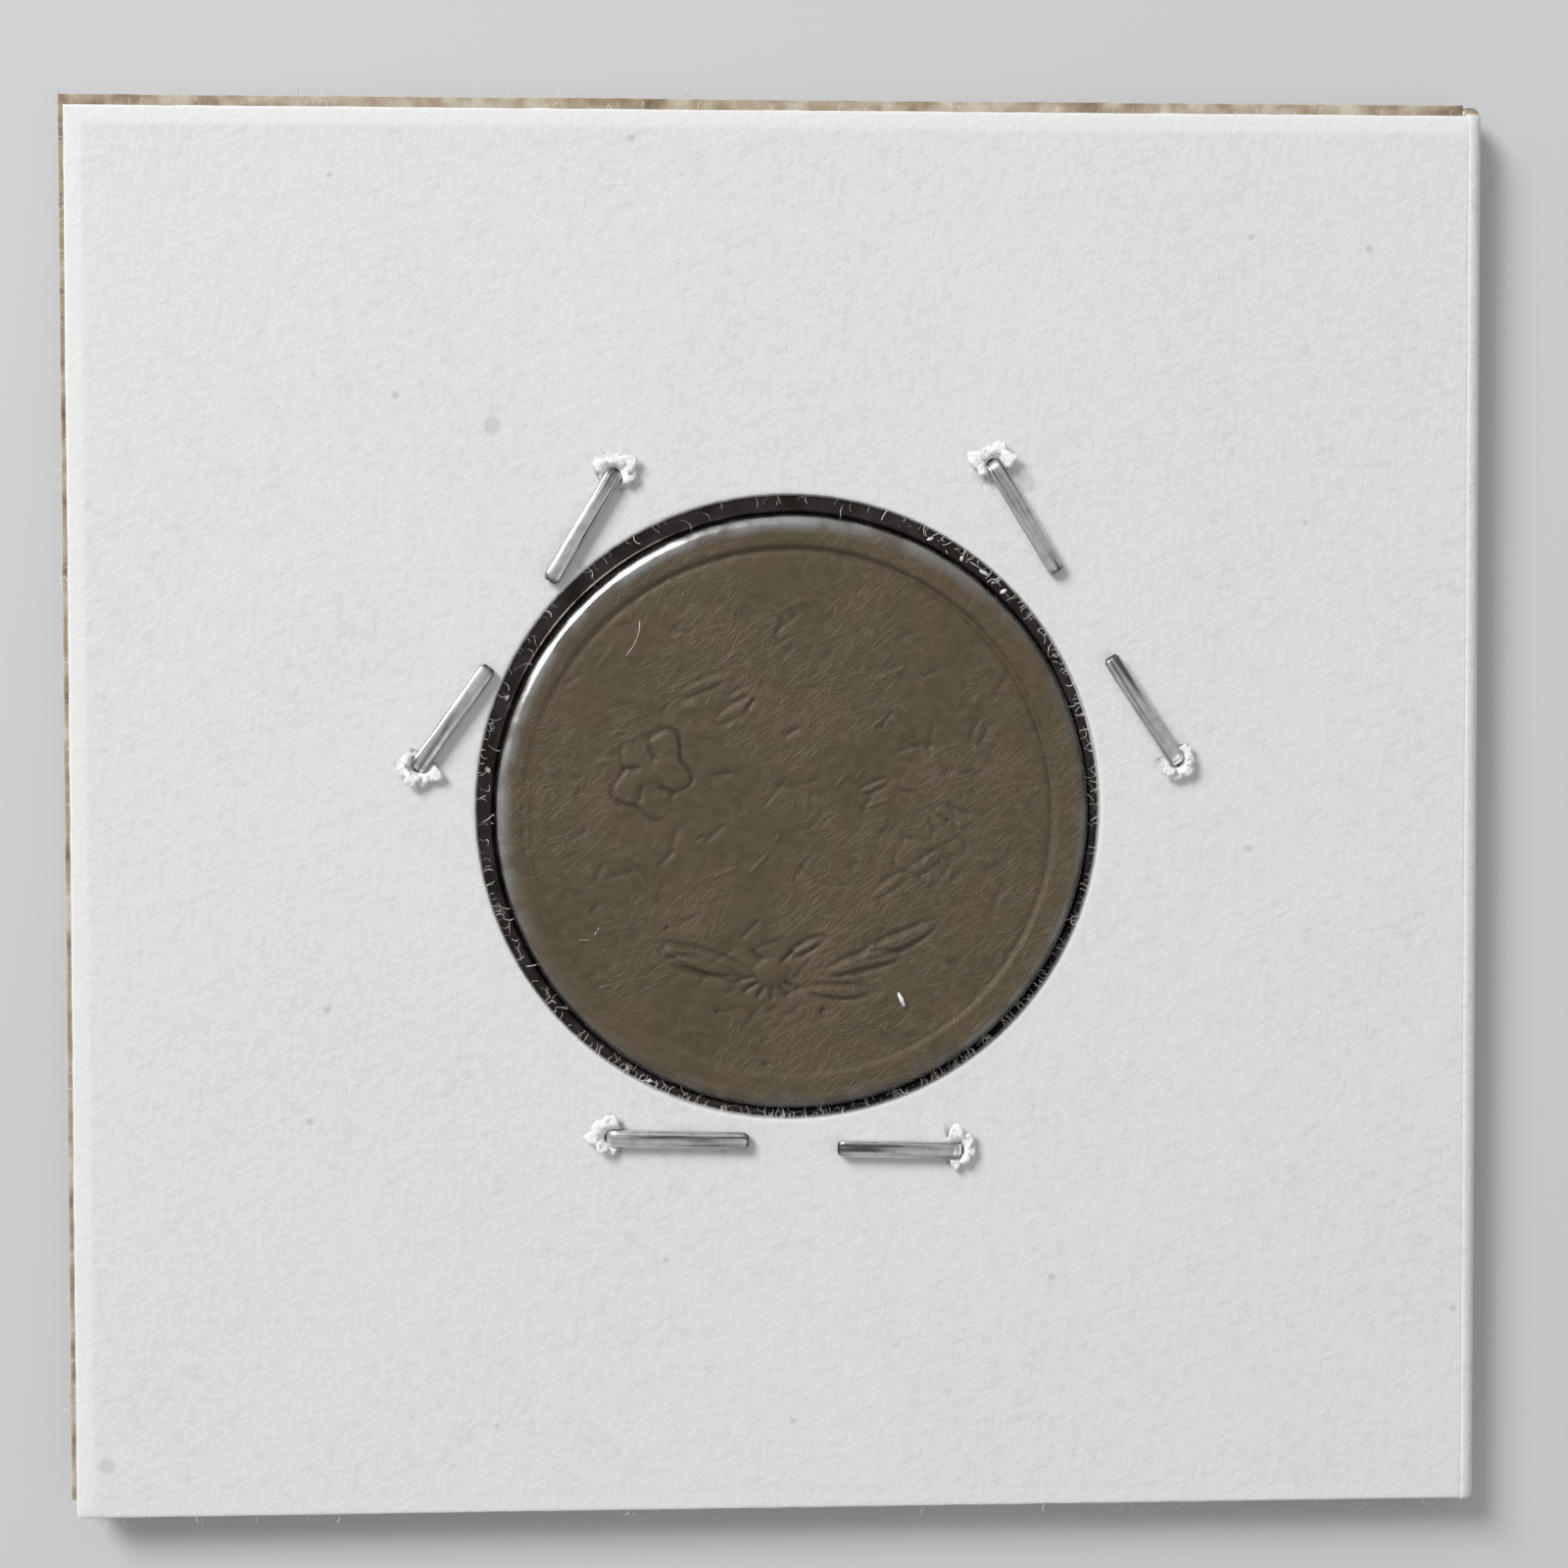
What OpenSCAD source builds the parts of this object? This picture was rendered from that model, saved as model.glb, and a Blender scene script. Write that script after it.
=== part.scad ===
// Stapled card coin holder: one card folded round a film pocket, a coin and three staples.
// It lies flat with its back half up, the fold along +X and the top edge along +Y.
// The origin is the centre of the bottom of its bounding box.

/* [Card] */
// Width of the holder, from the free edge to the outside of the fold
card_w = 50.8; // [46:0.1:60]
// Height of each half, along the fold
card_h = 50.1; // [46:0.1:60]
// Thickness of the card
card_t = 0.5; // [0.3:0.05:0.8]
// Step from one half to the other at the free edge
free_edge_step = 0.3; // [0:0.05:1]
// How far the two halves slipped along the fold when they were closed
fold_slip = 0.5; // [0:0.05:1]

/* [Window] */
// Diameter of the window in each half
window_d = 22.4; // [22:0.1:24]
// Window centre along X
window_x = 0.4; // [-1:0.1:1]
// Window centre along Y
window_y = 0; // [-1:0.1:1]

/* [Film] */
// Thickness of each film
film_t = 0.06; // [0.04:0.01:0.08]
// Air between the two films where the halves meet
film_gap = 0.04; // [0.02:0.01:0.1]
// How far the film stops short of the card's outer edges
film_margin = 0.7; // [0.3:0.1:2]
// Clearance between the film and the coin's faces
coin_clear = 0.02; // [0.02:0.01:0.1]
// Clearance between the film and the coin's edge
edge_clear = 0.03; // [0.02:0.01:0.1]
// How far the film's wall leans out from the coin's face to the card
wall_lean = 0.22; // [0.1:0.01:0.3]

/* [Coin] */
// Diameter of the coin
coin_d = 21; // [18:0.1:21]
// Thickness of the coin at its rim
coin_t = 1.95; // [1.4:0.05:2.2]
// Coin centre along X
coin_x = 0.5; // [0:0.1:0.6]
// Coin centre along Y
coin_y = -0.15; // [-0.2:0.05:0.1]
// Width of the raised rim
rim_w = 1.3; // [0.8:0.1:2]
// Depth of the worn field below the rim
field_depth = 0.06; // [0.03:0.01:0.2]
// Edge chamfer of the coin
coin_chamfer = 0.12; // [0.05:0.01:0.3]

/* [Staples] */
// Outside width of a staple's crown
crown_w = 12.8; // [12:0.1:13.5]
// Width of the flattened wire
wire_w = 0.6; // [0.4:0.05:0.8]
// Thickness of the flattened wire
wire_t = 0.4; // [0.3:0.05:0.4]
// Clearance of the wire in its slots
slot_clear = 0.05; // [0.03:0.01:0.1]
// Gap between the wire and the card's faces
wire_lift = 0.01; // [0.01:0.01:0.05]
// Gap between a leg and the round end of its stub
bend_gap = 0.02; // [0.01:0.01:0.05]
// Bevel at the cut end of a leg
cut_bevel = 0.12; // [0.05:0.01:0.18]

/* [Hidden] */
$fn = 96;
SKIN = 1;  // how far a cutter runs past what it cuts

// Place of each crown: X, Y and the angle of its long side
left_place = [-9.3, 6.7, 56];
right_place = [11, 6.95, 122];
bottom_place = [0.2, -12.05, -2.5];
PLACES = [left_place, right_place, bottom_place];

// Each leg: reach from its bend to its cut end, and how far it skews from the crown
left_upper = [4.4, 3];
left_lower = [4.3, -2];
right_upper = [4.4, -1];
right_lower = [4.4, 1];
bottom_left = [4.9, 1];
bottom_right = [4.3, 1];

coin_r = coin_d / 2;
window_r = window_d / 2;
z_mid = film_t + coin_clear + coin_t / 2;
inner_gap = film_gap / 2 + film_t;  // from the middle plane to a card's inner face
fold_r = inner_gap + card_t;        // outside radius of the fold
panel_end = card_w / 2 - fold_r;    // where the flat halves stop and the fold starts
front_bottom = z_mid - fold_r;
back_bottom = z_mid + inner_gap;
back_top = back_bottom + card_t;
crown_z = front_bottom - wire_lift - wire_t;
bend_z = back_top + wire_lift + wire_t / 2;  // height of the clinch bends' axes
bend_x = (crown_w - wire_t) / 2;             // from a crown's middle to each bend

// Puts its children at a staple's crown, with X along the crown
module at_staple(place) {
    translate([place.x, place.y, 0])
        rotate(place.z)
            children();
}

// The six slots that the staple legs pierce, running from one height to another
module leg_slots(low, high) {
    for (place = PLACES)
        at_staple(place)
            for (side = [-1, 1])
                translate([side * bend_x, 0, (low + high) / 2])
                    cube([wire_t + 2 * slot_clear, wire_w + 2 * slot_clear, high - low + 2 * SKIN],
                         center = true);
}

// One flat half of the card, from its free edge to the fold
module card_half(free_edge, slip, bottom) {
    difference() {
        translate([free_edge, slip / 2 - card_h / 2, bottom])
            cube([panel_end - free_edge, card_h, card_t]);
        translate([window_x, window_y, bottom - SKIN])
            cylinder(r = window_r, h = card_t + 2 * SKIN);
        leg_slots(bottom, bottom + card_t);
    }
}

// Front half, which carries the crowns
module front_card() {
    color("#e3e2dc")
        card_half(-card_w / 2, fold_slip, front_bottom);
}

// Back half, which folds over the coin
module back_card() {
    color("#dededa")
        card_half(free_edge_step - card_w / 2, -fold_slip, back_bottom);
}

// The bent strip of card that joins the two halves
module fold_crease() {
    height = card_h - fold_slip;
    color("#ecebe6")
        translate([panel_end, height / 2, z_mid])
            rotate([90, 0, 0])
                linear_extrude(height)
                    difference() {
                        circle(r = fold_r);
                        circle(r = inner_gap);
                        translate([-2 * fold_r, -2 * fold_r])
                            square([2 * fold_r, 4 * fold_r]);
                    }
}

// The film bulging over one face of the coin, as a round profile above the middle plane
module film_dome() {
    wall_top = coin_r + edge_clear;
    wall_foot = wall_top + wall_lean;
    flange = window_r + 1;
    low = film_gap / 2;
    high = coin_t / 2 + coin_clear;
    rotate_extrude()
        polygon([
            [0, high], [wall_top, high], [wall_foot, low], [flange, low],
            [flange, inner_gap], [wall_foot + film_t, inner_gap],
            [wall_top + film_t, high + film_t], [0, high + film_t]
        ]);
}

// One film above the middle plane: a flat sheet with the dome in it
module film_sheet() {
    left = film_margin - card_w / 2 + free_edge_step;
    height = card_h - fold_slip - 2 * film_margin;
    difference() {
        union() {
            difference() {
                translate([left, -height / 2, film_gap / 2])
                    cube([panel_end - left, height, film_t]);
                translate([coin_x, coin_y, -SKIN])
                    cylinder(r = window_r + 0.5, h = 2 * SKIN + film_t);
            }
            translate([coin_x, coin_y, 0])
                film_dome();
        }
        leg_slots(0, film_t);
    }
}

// Film on the inside of the front half
module front_film() {
    color("#cfd6da", 0.35)
        translate([0, 0, z_mid])
            mirror([0, 0, 1])
                film_sheet();
}

// Film on the inside of the back half
module back_film() {
    color("#d8dee2", 0.35)
        translate([0, 0, z_mid])
            film_sheet();
}

// Worn coin with a low rim on both faces, free to turn in its pocket
module coin() {
    rim = coin_r - rim_w;
    half = coin_t / 2;
    field = half - field_depth;
    color("#584f42")
        translate([coin_x, coin_y, z_mid])
            rotate_extrude()
                polygon([
                    [0, -field], [rim - field_depth, -field], [rim, -half],
                    [coin_r - coin_chamfer, -half], [coin_r, coin_chamfer - half],
                    [coin_r, half - coin_chamfer], [coin_r - coin_chamfer, half],
                    [rim, half], [rim - field_depth, field], [0, field]
                ]);
}

// Outline of a crown's rounded end and the stub that rises from it
module stub_outline(side) {
    outside = side * crown_w / 2;
    intersection() {
        translate([side * (crown_w / 2 - wire_t), crown_z + wire_t])
            circle(r = wire_t);
        translate([min(outside, outside - side * wire_t), crown_z])
            square(wire_t);
    }
    translate([min(outside, outside - side * wire_t), crown_z + wire_t])
        square([wire_t, bend_z - crown_z - wire_t]);
    translate([side * bend_x, bend_z])
        circle(r = wire_t / 2);
}

// A staple's crown under the front half, with its stubs up to the clinch bends
module staple(place) {
    color("#b9bcbe")
        at_staple(place)
            translate([0, wire_w / 2, 0])
                rotate([90, 0, 0])
                    linear_extrude(wire_w) {
                        translate([wire_t - crown_w / 2, crown_z])
                            square([crown_w - 2 * wire_t, wire_t]);
                        stub_outline(-1);
                        stub_outline(1);
                    }
}

// A clinched leg lying on the back half, pointing inwards from its bend
module leg(place, side, shape) {
    reach = shape[0];
    turn = (side > 0 ? 180 : 0) + shape[1];
    half = wire_t / 2;
    start = half + bend_gap;
    color("#c4c7c9")
        at_staple(place)
            translate([side * bend_x, 0, bend_z])
                rotate(turn)
                    translate([0, wire_w / 2, 0])
                        rotate([90, 0, 0])
                            linear_extrude(wire_w)
                                polygon([
                                    [start, -half], [reach - cut_bevel, -half],
                                    [reach, cut_bevel - half], [reach, half], [start, half]
                                ]);
}

module left_staple() staple(left_place);
module right_staple() staple(right_place);
module bottom_staple() staple(bottom_place);
module left_staple_upper_leg() leg(left_place, 1, left_upper);
module left_staple_lower_leg() leg(left_place, -1, left_lower);
module right_staple_upper_leg() leg(right_place, 1, right_upper);
module right_staple_lower_leg() leg(right_place, -1, right_lower);
module bottom_staple_left_leg() leg(bottom_place, -1, bottom_left);
module bottom_staple_right_leg() leg(bottom_place, 1, bottom_right);

front_card();
back_card();
fold_crease();
front_film();
back_film();
coin();
left_staple();
right_staple();
bottom_staple();
left_staple_upper_leg();
left_staple_lower_leg();
right_staple_upper_leg();
right_staple_lower_leg();
bottom_staple_left_leg();
bottom_staple_right_leg();
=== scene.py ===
import math

import bmesh
import bpy
import numpy as np
from mathutils import Matrix, Vector, noise


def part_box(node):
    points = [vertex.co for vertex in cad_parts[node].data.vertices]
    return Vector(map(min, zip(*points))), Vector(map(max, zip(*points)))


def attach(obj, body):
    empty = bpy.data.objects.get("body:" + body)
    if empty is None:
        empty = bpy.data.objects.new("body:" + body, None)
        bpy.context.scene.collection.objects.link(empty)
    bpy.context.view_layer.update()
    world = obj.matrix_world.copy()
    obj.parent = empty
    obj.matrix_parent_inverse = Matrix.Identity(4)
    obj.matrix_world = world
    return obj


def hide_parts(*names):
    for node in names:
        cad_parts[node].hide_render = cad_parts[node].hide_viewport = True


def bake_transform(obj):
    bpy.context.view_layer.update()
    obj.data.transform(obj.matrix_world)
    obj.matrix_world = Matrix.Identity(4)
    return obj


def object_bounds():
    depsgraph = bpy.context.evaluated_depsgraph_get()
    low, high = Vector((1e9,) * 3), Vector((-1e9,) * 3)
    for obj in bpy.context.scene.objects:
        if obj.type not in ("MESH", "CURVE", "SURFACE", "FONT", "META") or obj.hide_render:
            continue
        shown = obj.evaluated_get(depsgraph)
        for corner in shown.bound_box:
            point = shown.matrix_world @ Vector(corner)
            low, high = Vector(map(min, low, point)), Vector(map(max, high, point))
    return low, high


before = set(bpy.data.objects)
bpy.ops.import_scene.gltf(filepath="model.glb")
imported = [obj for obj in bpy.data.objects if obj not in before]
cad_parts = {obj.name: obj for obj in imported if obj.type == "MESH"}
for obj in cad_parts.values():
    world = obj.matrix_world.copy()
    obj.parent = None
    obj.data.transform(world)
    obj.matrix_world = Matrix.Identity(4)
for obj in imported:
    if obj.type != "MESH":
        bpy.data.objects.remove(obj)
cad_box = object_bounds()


# ---- Floor, light and camera ----
# The holder lies on a plain pale floor under soft studio light from its upper left.
# The camera looks almost straight down on the back half, as on a copy stand.
scene = bpy.context.scene
scene.view_settings.view_transform = "Standard"


def add_object(name, data):
    """Adds an object that holds a mesh, a lamp or a camera."""
    made = bpy.data.objects.new(name, data)
    scene.collection.objects.link(made)
    return made


floor_mesh = bpy.data.meshes.new("floor")
floor_half = 1.5
floor_mesh.from_pydata(
    [(-floor_half, -floor_half, 0), (floor_half, -floor_half, 0),
     (floor_half, floor_half, 0), (-floor_half, floor_half, 0)], [], [(0, 1, 2, 3)])
floor = add_object("floor", floor_mesh)
floor_paint = bpy.data.materials.new("floor_paint")
floor_paint.use_nodes = True
shader = floor_paint.node_tree.nodes["Principled BSDF"]
shader.inputs["Base Color"].default_value = (0.60, 0.60, 0.60, 1)
shader.inputs["Roughness"].default_value = 0.8
floor_mesh.materials.append(floor_paint)

world = bpy.data.worlds.new("studio")
world.use_nodes = True
world.node_tree.nodes["Background"].inputs["Color"].default_value = (0.95, 0.97, 1.0, 1)
world.node_tree.nodes["Background"].inputs["Strength"].default_value = 0.40
scene.world = world

# Each lamp: name, place, size, watts
for lamp_name, lamp_place, lamp_size, watts in (
        ("window_light", (-0.34, 0.36, 0.34), 0.24, 3.6),
        ("fill_light", (0.45, -0.30, 0.50), 0.50, 0.5)):
    lamp = add_object(lamp_name, bpy.data.lights.new(lamp_name, "AREA"))
    lamp.data.size = lamp_size
    lamp.data.energy = watts
    lamp.location = lamp_place
    lamp.rotation_euler = (-Vector(lamp_place)).to_track_quat("-Z", "Y").to_euler()

camera = add_object("camera", bpy.data.cameras.new("camera"))
camera.data.sensor_width = 36
camera.data.lens = 56.25
camera.data.clip_start = 0.005
camera.location = (-0.0034, 0.0034, 0.0891)
camera.rotation_euler = [math.radians(turn) for turn in (-1.66, -2.36, -0.1)]
scene.camera = camera


# ---- Card halves ----
# One card of white-lined grey-brown board, die cut with a round window in each half, folded
# in the middle. The knife rounds the cut edges over and leaves them rough, with the core showing.
MM = 0.001


def set_inputs(tree, made, inputs):
    """Sets or links a node's inputs, by name or number."""
    for name, value in inputs.items():
        if isinstance(value, bpy.types.NodeSocket):
            tree.links.new(value, made.inputs[name])
        else:
            made.inputs[name].default_value = value


def node(tree, kind, inputs=None, **settings):
    """Adds a node, sets its properties, and then sets or links its inputs."""
    made = tree.nodes.new(kind)
    for name, value in settings.items():
        setattr(made, name, value)
    set_inputs(tree, made, inputs or {})
    return made


def ramp(tree, value, stops):
    """A colour ramp over value, with stops of (position, grey or colour)."""
    made = node(tree, "ShaderNodeValToRGB", {"Fac": value})
    elements = made.color_ramp.elements
    while len(elements) < len(stops):
        elements.new(0.5)
    for element, (position, tone) in zip(elements, stops):
        element.position = position
        element.color = (tone, tone, tone, 1) if isinstance(tone, (int, float)) else (*tone, 1)
    return made.outputs["Color"]


def group(name, inputs, outputs):
    """An empty shader node group with named sockets, with its input and output nodes."""
    tree = bpy.data.node_groups.new(name, "ShaderNodeTree")
    for socket, kind in inputs:
        tree.interface.new_socket(socket, in_out="INPUT", socket_type=kind)
    for socket, kind in outputs:
        tree.interface.new_socket(socket, in_out="OUTPUT", socket_type=kind)
    return tree, tree.nodes.new("NodeGroupInput"), tree.nodes.new("NodeGroupOutput")


def maths(tree, operation, a, b=0.0):
    return node(tree, "ShaderNodeMath", {0: a, 1: b}, operation=operation).outputs[0]


def mix(tree, factor, a, b):
    made = node(tree, "ShaderNodeMix", {0: factor, 6: a, 7: b}, data_type="RGBA")
    return made.outputs[2]


# Matted fibres: a soft cloudy tone, and short raised strands lying in three directions
felt, felt_in, felt_out = group(
    "felt", [("Vector", "NodeSocketVector"), ("Size", "NodeSocketFloat")],
    [("Cloud", "NodeSocketFloat"), ("Strands", "NodeSocketFloat")])
cloud = node(felt, "ShaderNodeTexNoise", {"Vector": felt_in.outputs[0], "Scale": 170.0, "Detail": 4.0})
strands = 0.0
for turn, offset in ((20, 0.0), (85, 3.1), (140, 7.7)):
    laid = node(felt, "ShaderNodeMapping", {
        "Vector": felt_in.outputs[0], "Location": (offset, offset, 0),
        "Rotation": (0, 0, math.radians(turn)), "Scale": (2.6, 1.0, 1.0)}, vector_type="TEXTURE")
    lines = node(felt, "ShaderNodeTexNoise", {
        "Vector": laid.outputs[0], "Scale": felt_in.outputs["Size"], "Detail": 3.0, "Roughness": 0.6})
    ridge = maths(felt, "SUBTRACT", 0.5, lines.outputs[0])
    strands = maths(felt, "ADD", strands, maths(felt, "ABSOLUTE", ridge))
felt.links.new(cloud.outputs[0], felt_out.inputs["Cloud"])
felt.links.new(strands, felt_out.inputs["Strands"])


def new_material(name):
    made = bpy.data.materials.new(name)
    made.use_nodes = True
    return made, made.node_tree, made.node_tree.nodes["Principled BSDF"]


def emboss(tree, shader, height, strength, distance):
    """Gives a material fine relief from a height pattern, of a depth in metres."""
    relief = node(tree, "ShaderNodeBump", {"Height": height, "Strength": strength, "Distance": distance})
    tree.links.new(relief.outputs[0], shader.inputs["Normal"])


# The white face: almost flat white, and paler in a band along the cut edges and round the window's lip.
# The window's cut wall is palest, as a painted highlight of the lit wall
card_face, tree, shader = new_material("card_face")
here = node(tree, "ShaderNodeTexCoord").outputs["Object"]
matted = node(tree, "ShaderNodeGroup", {"Vector": here, "Size": 2300}, node_tree=felt)
tone = mix(tree, ramp(tree, matted.outputs["Cloud"], [(0.35, 0.0), (0.65, 1.0)]),
           (0.665, 0.675, 0.655, 1), (0.700, 0.698, 0.700, 1))
tone = mix(tree, ramp(tree, matted.outputs["Strands"], [(0.05, 0.0), (0.42, 1.0)]),
           (0.735, 0.738, 0.725, 1), tone)
specks = node(tree, "ShaderNodeTexVoronoi", {"Vector": here, "Scale": 330.0})
tone = mix(tree, ramp(tree, specks.outputs["Distance"], [(0.03, 0.35), (0.06, 0.0)]),
           tone, (0.33, 0.31, 0.28, 1))
for grey_spot in ((-10.1, 13.6), (8.9, 11.6), (-24.0, -23.4)):  # small grey spots; the first is painted shade of a shallow dent
    spot = (grey_spot[0] * MM, grey_spot[1] * MM, 1.62 * MM)
    away = node(tree, "ShaderNodeVectorMath", {0: here, 1: spot}, operation="DISTANCE").outputs["Value"]
    away = maths(tree, "ADD", maths(tree, "MULTIPLY", away, 1000), matted.outputs["Cloud"])
    tone = mix(tree, ramp(tree, away, [(0.70, 0.35), (0.88, 0.0)]), tone, (0.40, 0.39, 0.37, 1))
rim = node(tree, "ShaderNodeAttribute", attribute_name="rim").outputs["Fac"]
tone = mix(tree, rim, tone, (0.77, 0.77, 0.75, 1))
set_inputs(tree, shader, {"Base Color": tone, "Roughness": 0.85, "Specular IOR Level": 0.25})
emboss(tree, shader, matted.outputs["Strands"], 0.55, 0.00006)

# The cut core: beige and grey-brown layers between two white liners
card_core, tree, shader = new_material("card_core")
here = node(tree, "ShaderNodeTexCoord").outputs["Object"]
layers = node(tree, "ShaderNodeMapping", {"Vector": here, "Scale": (900, 900, 5200)})
grain = node(tree, "ShaderNodeTexNoise", {"Vector": layers.outputs[0], "Scale": 1.0, "Detail": 5.0})
tone = ramp(tree, grain.outputs[0], [(0.3, (0.20, 0.13, 0.09)), (0.5, (0.42, 0.34, 0.25)),
                                     (0.68, (0.60, 0.54, 0.45))])
set_inputs(tree, shader, {"Base Color": tone, "Roughness": 0.95, "Specular IOR Level": 0.1})
emboss(tree, shader, grain.outputs[0], 0.9, 0.00008)


def ripple(count, low, high, seed):
    """A smooth closed line of random waves, low to high of them in its length, about -1 to 1."""
    rng = np.random.default_rng(seed)
    turn = np.arange(count) * 2 * math.pi / count
    waves = np.arange(low, high + 1)
    size = rng.normal(0, 1, len(waves)) / np.sqrt(waves)
    line = sum(s * np.sin(n * turn + p) for s, n, p in zip(size, waves, rng.uniform(0, 6.3, len(waves))))
    return line / max(1e-9, np.abs(line).max())


def grid_faces(rows, columns, closed=True):
    """Quads of a grid of vertices laid out row after row, joined round each row if closed."""
    last = columns if closed else columns - 1
    row, column = np.meshgrid(np.arange(rows - 1), np.arange(last), indexing="ij")
    row, column = row.ravel(), column.ravel()
    beside = (column + 1) % columns
    return np.stack([row * columns + column, row * columns + beside,
                     (row + 1) * columns + beside, (row + 1) * columns + column], axis=1)


def make_piece(name, points, faces, materials, face_material=None):
    """A smooth-shaded mesh object in the row frame. Its faces are given pointing outwards."""
    mesh = bpy.data.meshes.new(name)
    mesh.from_pydata([tuple(p) for p in points], [], [tuple(int(i) for i in f) for f in faces])
    for made in materials:
        mesh.materials.append(made)
    if face_material is not None:
        mesh.polygons.foreach_set("material_index", np.asarray(face_material, np.int32))
    mesh.polygons.foreach_set("use_smooth", [True] * len(mesh.polygons))
    mesh.update()
    return add_object(name, mesh)


def paint(piece, attribute, values):
    """Keeps one value for each point of a piece, which its material reads by name."""
    made = piece.data.attributes.new(attribute, "FLOAT", "POINT")
    made.data.foreach_set("value", np.asarray(values, np.float32))


def apply_modifiers(piece):
    """Gives a piece the mesh that its modifiers make, and removes them."""
    bpy.context.view_layer.update()
    done = bpy.data.meshes.new_from_object(piece.evaluated_get(bpy.context.evaluated_depsgraph_get()))
    piece.modifiers.clear()
    piece.data = done


def half_outline(lowest, highest, per_side):
    """Points round a half, evenly along each side, from its lower left corner anticlockwise."""
    share = np.arange(per_side) / per_side
    x0, y0, x1, y1 = lowest.x, lowest.y, highest.x, highest.y
    along = [np.stack([x0 + (x1 - x0) * share, np.full(per_side, y0)], 1),
             np.stack([np.full(per_side, x1), y0 + (y1 - y0) * share], 1),
             np.stack([x1 + (x0 - x1) * share, np.full(per_side, y1)], 1),
             np.stack([np.full(per_side, x0), y1 + (y0 - y1) * share], 1)]
    return np.concatenate(along)


window_r = 11.2 * MM
window_centre = np.array([0.4 * MM, 0.0])
punch_lean = np.array([0.72, -0.69])  # the direction in which the punched cut slopes most
per_side = 180


def card_half(name, cad_node, outward, seed):
    """A half of the card. outward is 1 where its white face looks up and -1 where it looks down."""
    lowest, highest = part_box(cad_node)
    outline = half_outline(lowest, highest, per_side)
    count = len(outline)
    middle = np.array([(lowest.x + highest.x) / 2, (lowest.y + highest.y) / 2])
    half_size = np.array([highest.x - lowest.x, highest.y - lowest.y]) / 2
    cut_wave = ripple(count, 40, 170, seed) + 0.6 * ripple(count, 8, 30, seed + 1)
    outer_rough, cut_fade = 0.02, 0.3 * MM
    cut_wave = (cut_wave - cut_wave.max()) * outer_rough * MM
    at_fold = outline[:, 0] > highest.x - 0.01 * MM
    cut_wave[at_fold] = 0
    ray = outline - window_centre
    ray /= np.linalg.norm(ray, axis=1)[:, None]
    insets = np.array([0, 0.03, 0.08, 0.16, 0.28, 0.42, 0.56, 0.68, 0.74, 0.9, 1.3, 2.0]) * MM
    # The knife pressed a sloping rim, and rounded its outermost edge
    rim_width, rim_drop = 0.72 * MM, 0.06 * MM
    edge_width, edge_drop = 0.1 * MM, 0.05 * MM
    lip = np.array([0, 0.02, 0.05, 0.1, 0.2, 0.4, 0.8, 1.4]) * MM
    loops, depth, rims = [], [], []
    for inset in insets:
        ring = middle + (outline - middle) * (half_size - inset) / half_size
        ring = ring + cut_wave[:, None] * ray * max(0.0, 1 - inset / cut_fade)
        from_cut = np.minimum(
            ring[:, 0] - lowest.x, np.minimum(ring[:, 1] - lowest.y, highest.y - ring[:, 1]))
        share = np.clip(1 - from_cut / rim_width, 0, 1)
        edge = np.clip(1 - from_cut / edge_width, 0, 1)
        depth.append(rim_drop * share ** 1.2 + edge_drop * edge ** 2)
        rims.append(np.clip(share * 6, 0, 1) * (0.75 + 0.25 * share))
        loops.append(ring)
    window_wave = ripple(count, 60, 180, seed + 2) * 0.012 * MM
    lip_fade, lip_drop = 0.15 * MM, 0.035 * MM
    inner = []
    for out in lip:
        radius = window_r + out + window_wave * max(0.0, 1 - out / lip_fade)
        inner.append((window_centre + ray * np.broadcast_to(radius, count)[:, None],
                      np.full(count, lip_drop * max(0.0, 1 - out / edge_width) ** 2),
                      np.full(count, 0.5 * max(0.0, 1 - out / lip_fade))))
    between = 20
    for step in range(1, between):
        share = step / between
        loops.append(loops[len(insets) - 1] * (1 - share) + inner[-1][0] * share)
        depth.append(np.zeros(count))
        rims.append(np.zeros(count))
    for ring, drop, rim_share in reversed(inner):
        loops.append(ring)
        depth.append(drop)
        rims.append(rim_share)
    face_z = highest.z if outward > 0 else lowest.z
    back_z = lowest.z if outward > 0 else highest.z
    sway_length, sway_height = 6 * MM, 0.012 * MM
    least_lean, more_lean = 0.02, 0.08
    face, back = [], []
    for ring, drop in zip(loops, depth):
        sway = np.array([noise.noise((x / sway_length, y / sway_length, seed)) for x, y in ring])
        z = face_z - outward * (drop + sway_height * (0.5 + 0.5 * sway))
        face.append(np.column_stack([ring, z]))
        from_window = np.linalg.norm(ring - window_centre, axis=1) - window_r
        facing = np.clip(ray @ punch_lean, 0, 1)
        lean = (least_lean + more_lean * facing) * MM * np.clip(1 - from_window / cut_fade, 0, 1)
        back.append(np.column_stack([ring - ray * lean[:, None], np.full(count, back_z)]))
    rng = np.random.default_rng(seed + 5)
    wall_shares = (0.18, 0.36, 0.52, 0.68, 0.84)
    wall_rows = len(wall_shares)
    deepest = 0.05 * MM
    walls = []
    for ring_face, ring_back, rough in (
            (back[0], face[0], 0.02 * MM * ~at_fold), (face[-1], back[-1], np.full(count, 0.006 * MM))):
        levels = []
        for share in wall_shares:
            ring = ring_face * (1 - share) + ring_back * share
            push = rng.normal(0, 1, count) * rough
            ring[:, :2] -= ray * np.clip(np.abs(push), 0, deepest)[:, None]
            levels.append(ring)
        walls.append(levels)
    rows = face + walls[1] + back[::-1] + walls[0]
    points = np.concatenate(rows)
    total = len(rows)
    faces = grid_faces(total + 1, count) % (total * count)
    if outward < 0:
        faces = faces[:, ::-1]
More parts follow.
